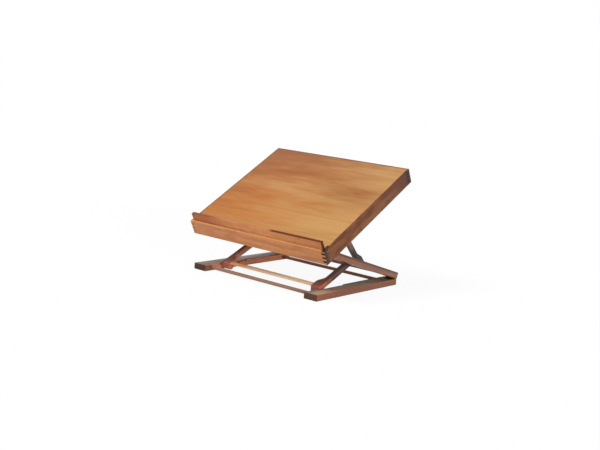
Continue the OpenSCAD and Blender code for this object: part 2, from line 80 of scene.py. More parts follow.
# How deep the relief of each surface is
WOOD_RELIEF = 0.12 * MM
VENEER_RELIEF = 0.1 * MM
METAL_RELIEF = 0.04 * MM

# The floor lies just under the rails, so that the two don't flicker
FLOOR_SIZE = 40.0
FLOOR_DROP = 0.2 * MM
FLOOR_WHITENESS = 0.93
WHITE = (1, 1, 1, 1)

# Each light's turn to the right of the front, height and softness, in degrees
KEY_LIGHT = (-28, 48, 22)
FILL_LIGHT = (70, 13, 24)

FILM_WIDTH = 36.0
CLIP_END = 60.0


def joint_place(name):
    """Where a joint stands at rest, in metres."""
    for joint in frame["record"]["behaviour"]["joints"]:
        if joint["name"] == name:
            return Vector(joint["pos_m"])
    raise ValueError(f"no joint {name}")


def mount_axis(name):
    """The outward direction of a mount's face."""
    for mount in frame["record"]["mounts"]:
        if mount["name"] == name:
            return Vector(mount["axis"])
    raise ValueError(f"no mount {name}")


def slope_between(low, high):
    """How steeply a board rises from one point to another, both in the side view."""
    step = high - low
    return math.atan2(step.z, step.y)


# Slopes of the boards about X in radians, positive where the rear end is the higher one
DESK_NORMAL = mount_axis("reading_face")
DESK_SLOPE = math.atan2(-DESK_NORMAL.y, DESK_NORMAL.z)
MIDDLE_SLOPE = slope_between(joint_place("desk_tilt"), joint_place("front_strut_swing"))
STRUT_SLOPE = math.radians(24.0)
PROP_SLOPE = math.radians(-45.3)
LEVEL = 0.0
PANEL_CENTRE = (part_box("desk_panel")[0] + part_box("desk_panel")[1]) / 2
PANEL_MIDDLE = PANEL_CENTRE.y * math.cos(DESK_SLOPE) + PANEL_CENTRE.z * math.sin(DESK_SLOPE)


# Values and nodes of a material


class Signal:
    """One output in a material's node tree, used in plain arithmetic."""

    def __init__(self, recipe, socket):
        self.recipe = recipe
        self.socket = socket

    def math(self, operation, *others):
        return self.recipe.maths(operation, self, *others)

    def __add__(self, other):
        return self.math("ADD", other)

    def __radd__(self, other):
        return self.recipe.maths("ADD", other, self)

    def __sub__(self, other):
        return self.math("SUBTRACT", other)

    def __rsub__(self, other):
        return self.recipe.maths("SUBTRACT", other, self)

    def __mul__(self, other):
        return self.math("MULTIPLY", other)

    def __truediv__(self, other):
        return self.math("DIVIDE", other)

    def __pow__(self, other):
        return self.math("POWER", other)

    def __abs__(self):
        return self.math("ABSOLUTE")

    def rise(self, start, end):
        """A smooth step: 0 up to start, 1 from end on."""
        return self.recipe.node(
            "ShaderNodeMapRange",
            {"interpolation_type": "SMOOTHSTEP"},
            {0: self, 1: start, 2: end, 3: 0.0, 4: 1.0},
        )


class Recipe:
    """The nodes of a new material, or of the world."""

    def __init__(self, owner):
        self.owner = owner
        owner.use_nodes = True
        self.tree = owner.node_tree
        self.tree.nodes.clear()

    def node(self, kind, settings=None, inputs=None, out=0):
        """Adds a node, sets its settings first, then its inputs, and returns one output."""
        made = self.tree.nodes.new(kind)
        for key, value in (settings or {}).items():
            setattr(made, key, value)
        for key, value in (inputs or {}).items():
            if isinstance(value, Signal):
                self.tree.links.new(value.socket, made.inputs[key])
            else:
                made.inputs[key].default_value = value
        return Signal(self, made.outputs[out]) if made.outputs else None

    def maths(self, operation, *values):
        return self.node("ShaderNodeMath", {"operation": operation}, dict(enumerate(values)))

    def mix(self, amount, first, second):
        """Colour first turning to colour second as amount goes from 0 to 1."""
        return self.node(
            "ShaderNodeMix", {"data_type": "RGBA"}, {0: amount, 6: first, 7: second}, out=2
        )

    def place(self):
        """Object coordinates, in metres."""
        return self.node("ShaderNodeTexCoord", out="Object")

    def turned(self, vector, slope, along_y, shift=(0, 0, 0), kind="POINT"):
        """A vector in a board's own directions: its length runs along X."""
        turn = (-slope, 0, -math.pi / 2 if along_y else 0)
        straight = self.node(
            "ShaderNodeMapping", {"vector_type": kind}, {"Vector": vector, "Rotation": turn}
        )
        if kind == "NORMAL":
            return straight
        return self.node(
            "ShaderNodeMapping", {"vector_type": "POINT"}, {"Vector": straight, "Location": shift}
        )

    def noise(self, vector, detail=3.0, roughness=0.5, distortion=0.0):
        return self.node(
            "ShaderNodeTexNoise",
            inputs={
                "Vector": vector,
                "Scale": 1.0,
                "Detail": detail,
                "Roughness": roughness,
                "Distortion": distortion,
            },
        )

    def stretch(self, vector, length, width):
        """The vector in units of a streak that is this long, and as thick as wide, in metres."""
        sizes = (1 / length, 1 / width, 1 / width)
        return self.node("ShaderNodeMapping", inputs={"Vector": vector, "Scale": sizes})

    def split(self, vector):
        """The three numbers of a vector."""
        parts = self.tree.nodes.new("ShaderNodeSeparateXYZ")
        self.tree.links.new(vector.socket, parts.inputs[0])
        return [Signal(self, socket) for socket in parts.outputs]

    def bump(self, height, distance):
        return self.node(
            "ShaderNodeBump", inputs={"Height": height, "Distance": distance, "Strength": 1.0}
        )

    def surface(self, **inputs):
        """Closes the material with one Principled surface."""
        shader = self.node(
            "ShaderNodeBsdfPrincipled",
            inputs={name.replace("_", " "): value for name, value in inputs.items()},
        )
        self.node("ShaderNodeOutputMaterial", inputs={"Surface": shader})
        return self.owner


def linear(red, green, blue):
    """A colour as a screen shows it, from 0 to 255, as light values."""

    def channel(value):
        share = value / 255
        return share / 12.92 if share <= 0.04045 else ((share + 0.055) / 1.055) ** 2.4

    return (channel(red), channel(green), channel(blue), 1.0)


def board_height(point, slope):
    """How high a point lies in the directions of a board with this slope."""
    return point.z * math.cos(slope) - point.y * math.sin(slope)


def heights(node, slope):
    """The lowest and highest point of a CAD node across a board with this slope."""
    levels = [board_height(vertex.co, slope) for vertex in frame["nodes"][node].data.vertices]
    return min(levels), max(levels)


def reach(node, slope):
    """The foremost and rearmost point of a CAD node along a board with this slope."""
    places = [
        vertex.co.y * math.cos(slope) + vertex.co.z * math.sin(slope)
        for vertex in frame["nodes"][node].data.vertices
    ]
    return min(places), max(places)


def board_normal(recipe, slope, along_y):
    """Which way the surface faces, in the board's own directions: length, width, up."""
    facing = recipe.node("ShaderNodeTexCoord", out="Normal")
    return recipe.split(recipe.turned(facing, slope, along_y, kind="NORMAL"))


def wood(
    name, light, dark, end, slope, along_y, seed,
    accent=None, accent_share=0.0, drift=None, top=None, top_share=0.0, darkening=None, darkening_tone=None,
    gloss=0.34, shine=0.2, mottle=1.0, figure=0.5, band=0.022,
):
    """Lacquered solid wood: rings, fibres, pores, patches of another tone and dark end grain.

    The seed sets where in the tree the board was cut. The accent comes in patches, and takes
    over from the first place in drift to the second, in metres along the board. The darkening is a
    function of the place along, across and up the board, and gives its strength; most calls paint
    shade and shadow with it. The top tone puts painted light, shade and sheen, as each call gives
    it, on the faces that look up.
    """
    recipe = Recipe(bpy.data.materials.new(name))
    shift = (seed * 0.731, 0.05 + seed * 0.0137, 0.04 + seed * 0.0071)
    board = recipe.turned(recipe.place(), slope, along_y, shift)
    wander = recipe.noise(recipe.stretch(board, 0.35, 0.05), detail=2.0) - 0.5
    _, width, thick = recipe.split(board)
    width = width + wander * 0.02
    thick = thick + wander * 0.012
    rings = recipe.maths("FRACT", (width * width + thick * thick) ** 0.5 / RING_SPACING)
    late = rings.rise(0.35, 0.95) * (1 - rings.rise(0.95, 1.0))
    broad = recipe.noise(recipe.stretch(board, 0.28, band), detail=3.0, roughness=0.6)
    fibre = recipe.noise(recipe.stretch(board, 0.045, 0.0011), detail=3.0, roughness=0.65)
    pores = recipe.noise(recipe.stretch(board, *PORE), detail=1.0).rise(0.66, 0.78)
    tone = broad * 1.1 * figure + late * 0.3 * figure + fibre * 0.45 - 0.1
    colour = recipe.mix(tone.rise(0.1, 0.85), light, dark)
    along, sideways, up = recipe.split(recipe.turned(recipe.place(), slope, along_y))
    if accent:
        patch = recipe.noise(recipe.stretch(board, 0.055, 0.018), detail=3.0, roughness=0.55)
        share = patch.rise(0.44, 0.62) * accent_share
        if drift:
            share = share.math("MAXIMUM", (along + (patch - 0.5) * 0.1).rise(*drift) * 0.9)
        colour = recipe.mix(share, colour, accent)
    colour = recipe.mix(pores * 0.3, colour, end)
    facing_length, _, facing_up = board_normal(recipe, slope, along_y)
    # Painted light, shade and sheen on the faces that look up, as each call gives the top tone
    if top:
        colour = recipe.mix(facing_up.rise(0.6, 0.95) * top_share, colour, top)
    across = abs(facing_length).rise(0.6, 0.95)
    rough_end = recipe.noise(recipe.stretch(board, 0.002, 0.0006), detail=2.0)
    end_colour = recipe.mix((late * 0.25 + rough_end * 0.2) * mottle, end, dark)
    colour = recipe.mix(across * 0.95, colour, end_colour)
    # Painted shade and shadow in most calls: the darkening mixes towards its tone
    if darkening:
        colour = recipe.mix(darkening(along, sideways, up), colour, darkening_tone or NEAR_BLACK)
    smear = recipe.noise(recipe.stretch(board, 0.06, 0.03), detail=3.0)
    roughness = gloss + (smear - 0.5) * 0.14 + across * 0.12 + fibre * 0.05
    height = fibre * 0.5 - pores * 0.8 + late * 0.15
    return recipe.surface(
        Base_Color=colour,
        Roughness=roughness,
        Normal=recipe.bump(height, WOOD_RELIEF),
        Specular_IOR_Level=shine,
    )


def veneer(name, gold, orange, shade, end):
    """The panel's face: one wide sheet, gold at the right, redder and darker to the rear left."""
    recipe = Recipe(bpy.data.materials.new(name))
    board = recipe.turned(recipe.place(), DESK_SLOPE, False)
    across, back, _ = recipe.split(board)
    cloud = recipe.noise(recipe.stretch(board, 0.24, 0.05), detail=3.0, roughness=0.6) - 0.5
    flames = recipe.stretch(board, 0.4, 0.03)
    flame = recipe.noise(flames, detail=3.0, roughness=0.6, distortion=0.8)
    fibre = recipe.noise(recipe.stretch(board, 0.05, 0.0012), detail=3.0, roughness=0.65)
    pores = recipe.noise(recipe.stretch(board, *PORE), detail=1.0).rise(0.68, 0.8)
    hue = 0.45 - across * 1.7 + cloud * 1.2
    colour = recipe.mix(hue.rise(0.0, 1.0), gold, orange)
    deep = 0.3 - across * 0.9 + (back - PANEL_MIDDLE) * 1.6 + cloud * 1.2
    colour = recipe.mix(deep.rise(0.15, 1.0) * 0.75, colour, shade)
    wander = recipe.noise(recipe.stretch(board, 0.3, 0.07), detail=2.0) - 0.5
    growth = recipe.maths("FRACT", (back + wander * 0.06) / VENEER_RING_SPACING)
    late = growth.rise(0.3, 0.9) * (1 - growth.rise(0.92, 1.0))
    colour = recipe.mix((flame.rise(0.46, 0.7) + fibre * 0.4) * 0.22 + late * 0.1, colour, shade)
    colour = recipe.mix(pores * 0.25, colour, end)
    aside = (across - 0.15) * 0.5
    behind = back - (PANEL_MIDDLE + 0.03)
    glow = ((aside * aside + behind * behind) ** 0.5).rise(0.12, 0.0)
    colour = recipe.mix(glow * (cloud * 1.5 + 0.45), colour, shade)
    # Painted shadow of the ledge's right end: the panel's front right corner turns to the end tone
    front, _ = reach("desk_panel", DESK_SLOPE)
    ledge_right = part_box("ledge")[1].x
    corner = across.rise(ledge_right - 1 * MM, ledge_right + 1 * MM)
    corner = corner * back.rise(front + 15 * MM, front + 11 * MM)
    colour = recipe.mix(corner * 0.95, colour, end)
    smear = recipe.noise(recipe.stretch(board, 0.08, 0.05), detail=3.0)
    return recipe.surface(
        Base_Color=colour,
        Roughness=0.36 + (smear - 0.5) * 0.14 + fibre * 0.05,
        Normal=recipe.bump(fibre * 0.5 - pores * 0.8, VENEER_RELIEF),
        Specular_IOR_Level=0.12,
    )


def metal(name, tint):
    """Drawn or turned metal with fine marks and a little tarnish."""
    recipe = Recipe(bpy.data.materials.new(name))
    place = recipe.place()
    marks = recipe.noise(recipe.stretch(place, 0.004, 0.0003), detail=3.0)
    tarnish = recipe.noise(recipe.stretch(place, 0.006, 0.006), detail=4.0).rise(0.45, 0.8)
    dull = tuple(value * 0.45 for value in tint[:3]) + (1.0,)
    return recipe.surface(
        Base_Color=recipe.mix(tarnish * 0.5, tint, dull),
        Metallic=1.0,
        Roughness=0.3 + marks * 0.12 + tarnish * 0.15,
        Normal=recipe.bump(marks, METAL_RELIEF),
    )


# Placing finishes and pieces


def clothe(piece, material):
    """Gives a piece its material."""
    piece.data.materials.clear()
    piece.data.materials.append(material)


def weigh_outer_edges(piece):
    """Marks the sharp edges that stick out for the bevel; inner corners keep their fit."""
    mesh = bmesh.new()
    mesh.from_mesh(piece.data)
    weight = mesh.edges.layers.float.new("bevel_weight_edge")
    for edge in mesh.edges:
        if len(edge.link_faces) == 2 and edge.is_convex:
            if edge.calc_face_angle() > OUTER_EDGE_ANGLE:
                edge[weight] = 1.0
    mesh.to_mesh(piece.data)
    mesh.free()


def cut_slots(piece, slots):
    """Cuts boxes, each with a centre and a size, out of a piece."""
    for centre, size in slots:
        bpy.ops.object.select_all(action="DESELECT")
        bpy.ops.mesh.primitive_cube_add(size=1.0, location=centre, scale=size)
        cutter = bpy.context.object
        bpy.context.view_layer.objects.active = piece
        slot = piece.modifiers.new("slot", "BOOLEAN")
        slot.operation = "DIFFERENCE"
        slot.object = cutter
        bpy.ops.object.modifier_apply(modifier=slot.name)
        bpy.data.objects.remove(cutter)
    piece.select_set(True)


def craft(node, body, material, width=STAND_EDGE, slots=()):
    """Puts a copy of a CAD node, with its sharp edges rounded over, in the node's place."""
    bpy.ops.object.select_all(action="DESELECT")
    source = frame["nodes"][node]
    source.select_set(True)
    bpy.context.view_layer.objects.active = source
    bpy.ops.object.duplicate()
    piece = bpy.context.object
    piece.name = f"{node}_eased"
    if piece.data.has_custom_normals:
        bpy.ops.mesh.customdata_custom_splitnormals_clear()
    bpy.ops.object.mode_set(mode="EDIT")
    bpy.ops.mesh.select_all(action="SELECT")
    bpy.ops.mesh.remove_doubles(threshold=MERGE_DISTANCE)
    bpy.ops.mesh.dissolve_limited(angle_limit=FLAT_ANGLE)
    bpy.ops.object.mode_set(mode="OBJECT")
    weigh_outer_edges(piece)
    bevel = piece.modifiers.new("eased_edges", "BEVEL")
    bevel.width = width
    bevel.segments = EDGE_SEGMENTS
    bevel.limit_method = "WEIGHT"
    bpy.ops.object.modifier_apply(modifier=bevel.name)
    cut_slots(piece, slots)
    bpy.ops.object.shade_smooth_by_angle(angle=SMOOTH_ANGLE)
    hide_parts(node)
    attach(piece, body)
    clothe(piece, material)


# Settings that a user would change


class LecternView(bpy.types.PropertyGroup):
    azimuth: bpy.props.FloatProperty(
        name="Azimuth", description="Camera's turn to the right of the front",
        default=math.radians(37.274), subtype="ANGLE",
    )
    elevation: bpy.props.FloatProperty(
        name="Elevation", description="Camera's height as an angle",
        default=math.radians(9.096), subtype="ANGLE",
    )
    roll: bpy.props.FloatProperty(
        name="Roll", description="Camera's turn about its own view",
        default=math.radians(5.426), subtype="ANGLE",
    )
    distance: bpy.props.FloatProperty(
        name="Distance", description="From the camera to the point that it looks at",
        default=2.89405, unit="LENGTH",
    )
    target: bpy.props.FloatVectorProperty(
        name="Target", description="Point at the middle of the picture",
        default=(0.036108, -0.042714, 0.168728), subtype="XYZ",
    )
    focal_length: bpy.props.FloatProperty(
        name="Focal length", description="Lens in millimetres on a 36 mm film", default=59.124,
        unit="CAMERA",
    )


class LecternLight(bpy.types.PropertyGroup):
    key_power: bpy.props.FloatProperty(
        name="Key light", description="Strength of the broad light at the front left", default=2.2,
    )
    fill_power: bpy.props.FloatProperty(
        name="Fill light", description="Strength of the soft light at the right", default=2.0,
    )
    world_level: bpy.props.FloatProperty(
        name="Surroundings", description="Light that comes from all round", default=0.36,
    )
    floor_colour: bpy.props.FloatVectorProperty(
        name="Floor", description="Colour of the floor and backdrop",
        default=(0.96, 0.96, 0.96), size=3, subtype="COLOR",
    )


def tone(name, description, *shown):
    """A colour setting whose default is given as a screen shows it."""
    return bpy.props.FloatVectorProperty(
        name=name, description=description, default=linear(*shown)[:3], size=3, subtype="COLOR",
    )


class LecternWood(bpy.types.PropertyGroup):
    panel_gold: tone("Panel, gold", "Panel's tone at the right", 187, 142, 88)
    panel_orange: tone("Panel, orange", "Panel's tone at the left", 180, 108, 44)
    panel_shade: tone("Panel, shade", "Panel's darker tone at the rear left", 132, 72, 26)
    trim_light: tone("Front rail, light", "Lighter tone of the front rail and ledge", 210, 146, 90)
    trim_dark: tone("Front rail, dark", "Darker tone of the front rail and ledge", 174, 110, 68)
    trim_red: tone("Front rail, red", "Red patches of the front rail and ledge", 158, 84, 44)
    side_light: tone("Side rails, light", "Lighter tone of the desk's sides and rear", 137, 88, 54)
    side_dark: tone("Side rails, dark", "Darker tone of the desk's sides and rear", 92, 54, 34)
    side_red: tone("Side rails, red", "Red patches of the desk's sides and rear", 84, 40, 28)
    middle_light: tone("Middle rail, light", "Lighter tone of the right middle rail", 146, 96, 72)
    middle_dark: tone("Middle rail, dark", "Darker tone of the right middle rail", 108, 66, 48)
    base_light: tone("Right base rail, light", "Lighter tone of the right base rail", 144, 98, 76)
    base_dark: tone("Right base rail, dark", "Darker tone of the right base rail", 110, 70, 54)
    # Painted sheen: a greyer, lighter tone on the right base rail's upper face
    base_top_sheen: tone("Right base rail, top", "Upper face of the right base rail", 178, 145, 120)
    # The left rails are lighter copies of the right rails' wood: painted light where the fill light
    # reaches under the desk
    left_light: tone("Left rails, light", "Lighter tone of the stand's left rails", 206, 134, 98)
    left_dark: tone("Left rails, dark", "Darker tone of the stand's left rails", 158, 96, 68)
    # Painted reflection: the grey sheen that the left base rail's lacquered top shows at a grazing
    # view
    left_top_sheen: tone("Left base rail, top", "Dulled upper face of the left base rail", 86, 80, 78)
    # The left arm is a lighter copy of the right arm's wood: painted light under the desk
    left_arm_light: tone("Left arm, light", "Lighter tone of the strut's left arm", 206, 132, 112)
    left_arm_dark: tone("Left arm, dark", "Darker tone of the strut's left arm", 168, 98, 78)
    # Painted shade on the left arm's upper face
    left_arm_top_shade: tone("Left arm, top", "Dulled upper face of the strut's left arm", 150, 96, 80)
    right_arm_light: tone("Right arm, light", "Lighter tone of the strut's right arm", 98, 68, 62)
    right_arm_dark: tone("Right arm, dark", "Darker tone of the strut's right arm", 72, 50, 48)
    # Painted light on the right arm's upper face
    right_arm_top_lit: tone("Right arm, top", "Upper face of the strut's right arm", 116, 82, 72)
    right_arm_foot: tone("Right arm, foot", "Redder foot of the strut's right arm", 190, 107, 82)
    strut_end: tone("Strut, ends", "Ends of the front strut's arms", 146, 80, 62)
    prop_light: tone("Prop, light", "Lighter tone of the rear prop", 128, 90, 70)
    prop_dark: tone("Prop, dark", "Darker tone of the rear prop", 92, 64, 50)
    slat_light: tone("Slat, light", "Lighter tone of the slat", 240, 208, 172)
    slat_dark: tone("Slat, dark", "Darker tone of the slat", 214, 176, 136)
    slat_orange: tone("Slat, orange", "Slat's tone at its left end", 222, 156, 104)
    bar_light: tone("Bars, light", "Lighter tone of the front bar, pegs and rod", 146, 112, 92)
    bar_dark: tone("Bars, dark", "Darker tone of the front bar, pegs and rod", 120, 88, 74)
    rear_light: tone("Rear bars, light", "Lighter tone of the rear and middle bars", 150, 104, 84)
    rear_dark: tone("Rear bars, dark", "Darker tone of the rear and middle bars", 122, 86, 72)


def solid(colour):
    """A colour setting as a shader takes it, fully opaque."""
    return tuple(colour) + (1.0,)


# Tones of the ends, of painted shade and light, and of the metals
END_GRAIN = linear(44, 28, 20)
DARK_END = linear(64, 51, 44)
# Near-black; the left base rail's front end and the rear prop's arms take it as painted shade
NEAR_BLACK = linear(34, 30, 26)
LIT_EDGE = linear(214, 160, 104)
# Tone of the painted shade along the ledge's top rear arris
ARRIS_SHADE = linear(92, 40, 12)
# Grey of the painted shade along the inner edge of the right base rail's top
SHADE_GREY = linear(92, 98, 94)
BRASS = linear(158, 124, 70)
STEEL = linear(168, 168, 166)


# Stage, light and camera


def towards(azimuth, elevation):
    """The direction of something seen at this turn to the right of the front, and height."""
    return Vector((
        math.sin(azimuth) * math.cos(elevation),
        -math.cos(azimuth) * math.cos(elevation),
        math.sin(elevation),
    ))


def broad_light(name, strength, place):
    """A distant light as soft as a large lamp, with its turn, height and softness in degrees."""
    azimuth, elevation, softness = (math.radians(angle) for angle in place)
    light = bpy.data.lights.new(name, "SUN")
    light.energy = strength
    light.angle = softness
    thing = bpy.data.objects.new(name, light)
    bpy.context.collection.objects.link(thing)
    thing.rotation_euler = towards(azimuth, elevation).to_track_quat("Z", "Y").to_euler()


def seen_directly(recipe):
    """1 where the camera, a reflection or a glass looks at the surface, and 0 for its light."""
    rays = recipe.tree.nodes.new("ShaderNodeLightPath")
    camera = Signal(recipe, rays.outputs["Is Camera Ray"])
    glossy = Signal(recipe, rays.outputs["Is Glossy Ray"])
    passing = Signal(recipe, rays.outputs["Is Transmission Ray"])
    return camera.math("MAXIMUM", glossy).math("MAXIMUM", passing)


class LECTERN_OT_stage(bpy.types.Operator):
    """Add the white floor that keeps a soft shadow, the lights and the surroundings"""

    bl_idname = "lectern.stage"
    bl_label = "Stage and light"

    def execute(self, context):
        light = context.scene.lectern_light
        bpy.ops.object.select_all(action="DESELECT")
        bpy.ops.mesh.primitive_plane_add(size=FLOOR_SIZE, location=(0, 0, -FLOOR_DROP))
        floor = context.object
        floor.name = "floor"
        recipe = Recipe(bpy.data.materials.new("floor_paper"))
        matt = recipe.node("ShaderNodeBsdfDiffuse", inputs={"Color": solid(light.floor_colour)})
        white = recipe.node("ShaderNodeEmission", inputs={"Color": WHITE, "Strength": 1.0})
        bright = seen_directly(recipe) * FLOOR_WHITENESS
        shown = recipe.node("ShaderNodeMixShader", inputs={0: bright, 1: matt, 2: white})
        recipe.node("ShaderNodeOutputMaterial", inputs={"Surface": shown})
        floor.data.materials.append(recipe.owner)

        world = bpy.data.worlds.new("surroundings")
        context.scene.world = world
        sky = Recipe(world)
        level = light.world_level
        strength = level + seen_directly(sky) * (1.0 - level)
        glow = sky.node("ShaderNodeBackground", inputs={"Color": WHITE, "Strength": strength})
        sky.node("ShaderNodeOutputWorld", inputs={"Surface": glow})

        broad_light("key_light", light.key_power, KEY_LIGHT)
        broad_light("fill_light", light.fill_power, FILL_LIGHT)
        return {"FINISHED"}


class LECTERN_OT_camera(bpy.types.Operator):
    """Set the camera at the photograph's viewing angle"""

    bl_idname = "lectern.camera"
    bl_label = "Camera"

    def execute(self, context):
        view = context.scene.lectern_view
        back = towards(view.azimuth, view.elevation)
        eye = Vector(view.target) + back * view.distance
        level_right = (-back).cross(Vector((0, 0, 1))).normalized()
        level_up = level_right.cross(-back)
        right = level_right * math.cos(view.roll) + level_up * math.sin(view.roll)
        up = level_up * math.cos(view.roll) - level_right * math.sin(view.roll)
        camera = bpy.data.cameras.new("camera")
        camera.sensor_width = FILM_WIDTH
        camera.lens = view.focal_length
        camera.clip_end = CLIP_END
        thing = bpy.data.objects.new("camera", camera)
        context.collection.objects.link(thing)
        turn = Matrix((right, up, back)).transposed()
        thing.matrix_world = Matrix.Translation(eye) @ turn.to_4x4()
        context.scene.camera = thing
        context.scene.view_settings.view_transform = "Standard"
        return {"FINISHED"}


# Wooden parts


class LECTERN_OT_desk(bpy.types.Operator):
    """Make the desk: the veneered panel, its finger-jointed box, the ledge and the prop's cleats"""

    bl_idname = "lectern.desk"
    bl_label = "Desk"

    def execute(self, context):
        tones = context.scene.lectern_wood
        panel = veneer(
            "panel_wood", solid(tones.panel_gold), solid(tones.panel_orange),
            solid(tones.panel_shade), END_GRAIN,
        )
        craft("desk_panel", "desk", panel, PANEL_EDGE)
        trim = {
            "light": solid(tones.trim_light), "dark": solid(tones.trim_dark), "end": END_GRAIN,
            "accent": solid(tones.trim_red), "accent_share": 0.35,
            "slope": DESK_SLOPE, "along_y": False,
        }
        _, ledge_top = heights("ledge", DESK_SLOPE)
        _, rail_top = heights("desk_front_rail", DESK_SLOPE)
        _, ledge_rear = reach("ledge", DESK_SLOPE)
        ledge_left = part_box("ledge")[0].x
        rail_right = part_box("desk_front_rail")[1].x
        front, rear = reach("desk_side_right", DESK_SLOPE)

        # Other places along the ledge and the front rail are in metres from the desk's middle
        # Painted shade: a dark line along the ledge's top rear arris, strongest at both ends. The
        # code also darkens the ledge's upper left corner, and a little of its right part
        def ledge_shade(along, back, up):
            rear_arris = back.rise(ledge_rear - 11 * MM, ledge_rear - 9 * MM)
            rear_arris = rear_arris * up.rise(ledge_top - 2 * MM, ledge_top - 1 * MM)
            strength = along.rise(-0.12, -0.2) * 0.5 + along.rise(0.05, 0.07) * 0.9 + 0.1
            left_corner = along.rise(ledge_left + 15 * MM, ledge_left + 5 * MM)
            left_corner = left_corner * up.rise(ledge_top - 7 * MM, ledge_top - 3 * MM)
            patches = (rear_arris * strength).math("MAXIMUM", left_corner * 0.7)
            return patches.math("MAXIMUM", along.rise(0.05, 0.2) * 0.2)

        # Painted shadow of the ledge's right end on the front rail's top corner; the rail also
        # darkens slightly towards its right
        def corner_shadow(along, back, up):
            corner = along.rise(rail_right - 12 * MM, rail_right - 8 * MM)
            corner = corner * up.rise(rail_top - 3 * MM, rail_top - 1 * MM)
            return corner.math("MAXIMUM", along.rise(0.0, 0.2) * 0.1)

        # Darker near both ends of the right side rail; the patch on its top lip at the front is
        # painted shadow of the ledge's end
        def side_end_darkening(along, sideways, up):
            lip = up.rise(rail_top - 1.5 * MM, rail_top - 0.5 * MM)
            near = along.rise(front + 14 * MM, front + 8 * MM) * 0.75
            near = near.math("MAXIMUM", along.rise(front + 26 * MM, front + 22 * MM) * lip * 0.9)
            return near + along.rise(rear - 26 * MM, rear - 14 * MM) * 0.88

        front_rail = wood(
            "front_rail_wood", seed=2.0, darkening=corner_shadow, darkening_tone=END_GRAIN,
            top=LIT_EDGE, top_share=0.4, mottle=0.4, figure=0.7, band=0.008, **trim
        )
        craft("desk_front_rail", "desk", front_rail, BOX_EDGE)
        ledge = wood(
            "ledge_wood", seed=4.0, drift=(-0.05, -0.2), darkening=ledge_shade, darkening_tone=ARRIS_SHADE,
            shine=0.12, mottle=0.1, figure=0.6, band=0.01, **trim
        )
        craft("ledge", "desk", ledge, LEDGE_EDGE)
        side = {
            "light": solid(tones.side_light), "dark": solid(tones.side_dark),
            "accent": solid(tones.side_red), "accent_share": 0.6, "slope": DESK_SLOPE,
        }
        right = wood(
            "side_right_wood", seed=6.0, end=END_GRAIN, along_y=True, shine=0.1,
            drift=(PANEL_MIDDLE + 0.06, PANEL_MIDDLE + 0.2),
            darkening=side_end_darkening, darkening_tone=END_GRAIN, **side
        )
        craft("desk_side_right", "desk", right, BOX_EDGE)
        left = wood("side_left_wood", seed=5.0, end=solid(tones.trim_dark), along_y=True, **side)
        craft("desk_side_left", "desk", left, BOX_EDGE)
        rear_rail = wood("rear_rail_wood", seed=3.0, end=END_GRAIN, along_y=False, **side)
        craft("desk_rear_rail", "desk", rear_rail, BOX_EDGE)
        for node, seed in (("prop_cleat_left", 7.0), ("prop_cleat_right", 8.0)):
            cleat = wood(f"{node}_wood", seed=seed, end=END_GRAIN, along_y=True, **side)
            craft(node, "desk", cleat, BOX_EDGE)
        return {"FINISHED"}


class LECTERN_OT_base_frame(bpy.types.Operator):
    """Finish the base frame's rails and bars"""

    bl_idname = "lectern.base_frame"
    bl_label = "Base frame"

    def execute(self, context):
        tones = context.scene.lectern_wood
        rail = {"end": DARK_END, "slope": LEVEL, "along_y": True}
        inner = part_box("base_rail_right")[0].x
        _, upper = heights("base_rail_right", LEVEL)
        front, _ = reach("base_rail_left", LEVEL)

        # Painted shade: a grey strip along the inner edge of the right base rail's top
        def inner_edge_shade(along, sideways, up):
            near = sideways.rise(-inner - 17 * MM, -inner - 11 * MM)
            return near * up.rise(upper - 1 * MM, upper - 0.2 * MM) * 0.85

        # Painted shade on the left base rail below its top, over its first 24 to 28 mm from the
        # front end
        def front_shade(along, sideways, up):
            side = up.rise(upper - 0.2 * MM, upper - 1 * MM)
            return along.rise(front + 28 * MM, front + 24 * MM) * side * 0.65

        # Lighter copy of the rail's wood: painted light; its upper faces take a grey tone: painted
        # reflection
        left = wood(
            "base_left_wood", seed=11.0, light=solid(tones.left_light),
            dark=solid(tones.left_dark), top=solid(tones.left_top_sheen), top_share=0.8,
            shine=0.12, darkening=front_shade, **rail
        )
        craft("base_rail_left", "base", left)
        # The upper faces take a greyer, lighter tone: painted sheen
        right = wood(
            "base_right_wood", seed=12.0, light=solid(tones.base_light),
            dark=solid(tones.base_dark), top=solid(tones.base_top_sheen), top_share=0.7,
            shine=0.08, gloss=0.5, darkening=inner_edge_shade, darkening_tone=SHADE_GREY, **rail
        )
        craft("base_rail_right", "base", right)
        for place, seed, light, dark in (
            ("front", 14.0, tones.bar_light, tones.bar_dark),
            ("rear", 13.0, tones.rear_light, tones.rear_dark),
        ):
            bar = wood(
                f"base_{place}_wood", seed=seed, light=solid(light), dark=solid(dark),
                end=END_GRAIN, slope=LEVEL, along_y=False
            )
            craft(f"base_{place}_bar", "base", bar)
        return {"FINISHED"}


